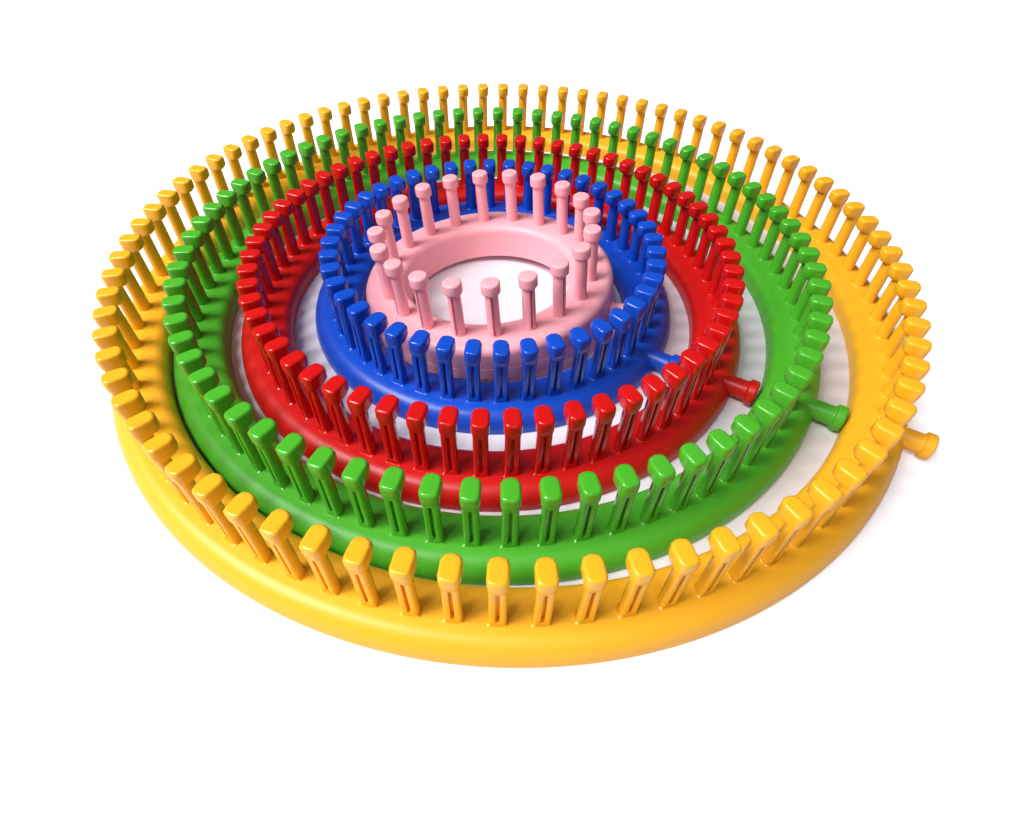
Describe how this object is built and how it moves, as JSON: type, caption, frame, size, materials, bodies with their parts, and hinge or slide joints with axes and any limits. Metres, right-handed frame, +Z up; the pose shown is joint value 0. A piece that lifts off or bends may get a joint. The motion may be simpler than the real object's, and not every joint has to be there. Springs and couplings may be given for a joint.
{
  "type": "round knitting loom set",
  "caption": "Nest of round peg looms for knitting tubes: moulded rings with grooved pegs and an anchor peg each, lying one inside the other.",
  "frame": {"origin": "centre of the largest (yellow) ring, on the table it lies on", "axes": "+Z up, along the yellow ring's axis; +Y points away from the viewer of the picture, +X to the viewer's right"},
  "size_m": [0.29, 0.29, 0.0399],
  "materials": {
    "yellow_plastic": "semi-gloss",
    "green_plastic": "gloss",
    "red_plastic": "gloss",
    "blue_plastic": "gloss",
    "pink_plastic": "satin"
  },
  "bodies": {
    "yellow_loom": {"yellow_ring": "yellow_plastic", "yellow_pegs": "yellow_plastic", "yellow_anchor_peg": "yellow_plastic"},
    "green_loom": {"green_ring": "green_plastic", "green_pegs": "green_plastic", "green_anchor_peg": "green_plastic"},
    "red_loom": {"red_ring": "red_plastic", "red_pegs": "red_plastic", "red_anchor_peg": "red_plastic"},
    "blue_loom": {"blue_ring": "blue_plastic", "blue_pegs": "blue_plastic", "blue_anchor_peg": "blue_plastic"},
    "pink_loom": {"pink_ring": "pink_plastic", "pink_base": "pink_plastic", "pink_anchor_peg": "pink_plastic", "pink_peg_01": "pink_plastic", "pink_peg_02": "pink_plastic", "pink_peg_03": "pink_plastic", "pink_peg_04": "pink_plastic", "pink_peg_05": "pink_plastic", "pink_peg_06": "pink_plastic", "pink_peg_07": "pink_plastic", "pink_peg_08": "pink_plastic", "pink_peg_09": "pink_plastic", "pink_peg_10": "pink_plastic", "pink_peg_11": "pink_plastic", "pink_peg_12": "pink_plastic", "pink_peg_13": "pink_plastic", "pink_peg_14": "pink_plastic", "pink_peg_15": "pink_plastic", "pink_peg_16": "pink_plastic", "pink_peg_17": "pink_plastic", "pink_peg_18": "pink_plastic", "pink_peg_19": "pink_plastic", "pink_peg_20": "pink_plastic"}
  },
  "joints": [
    {"name": "green_lift", "type": "slide", "parent": "yellow_loom", "child": "green_loom", "axis": [0, 0, 1], "range_m": [0, 0.04]},
    {"name": "red_lift", "type": "slide", "parent": "yellow_loom", "child": "red_loom", "axis": [0, 0, 1], "range_m": [0, 0.08]},
    {"name": "blue_lift", "type": "slide", "parent": "yellow_loom", "child": "blue_loom", "axis": [0, 0, 1], "range_m": [0, 0.12]},
    {"name": "pink_lift", "type": "slide", "parent": "blue_loom", "child": "pink_loom", "axis": [0, 0, 1], "range_m": [0, 0.04]}
  ]
}
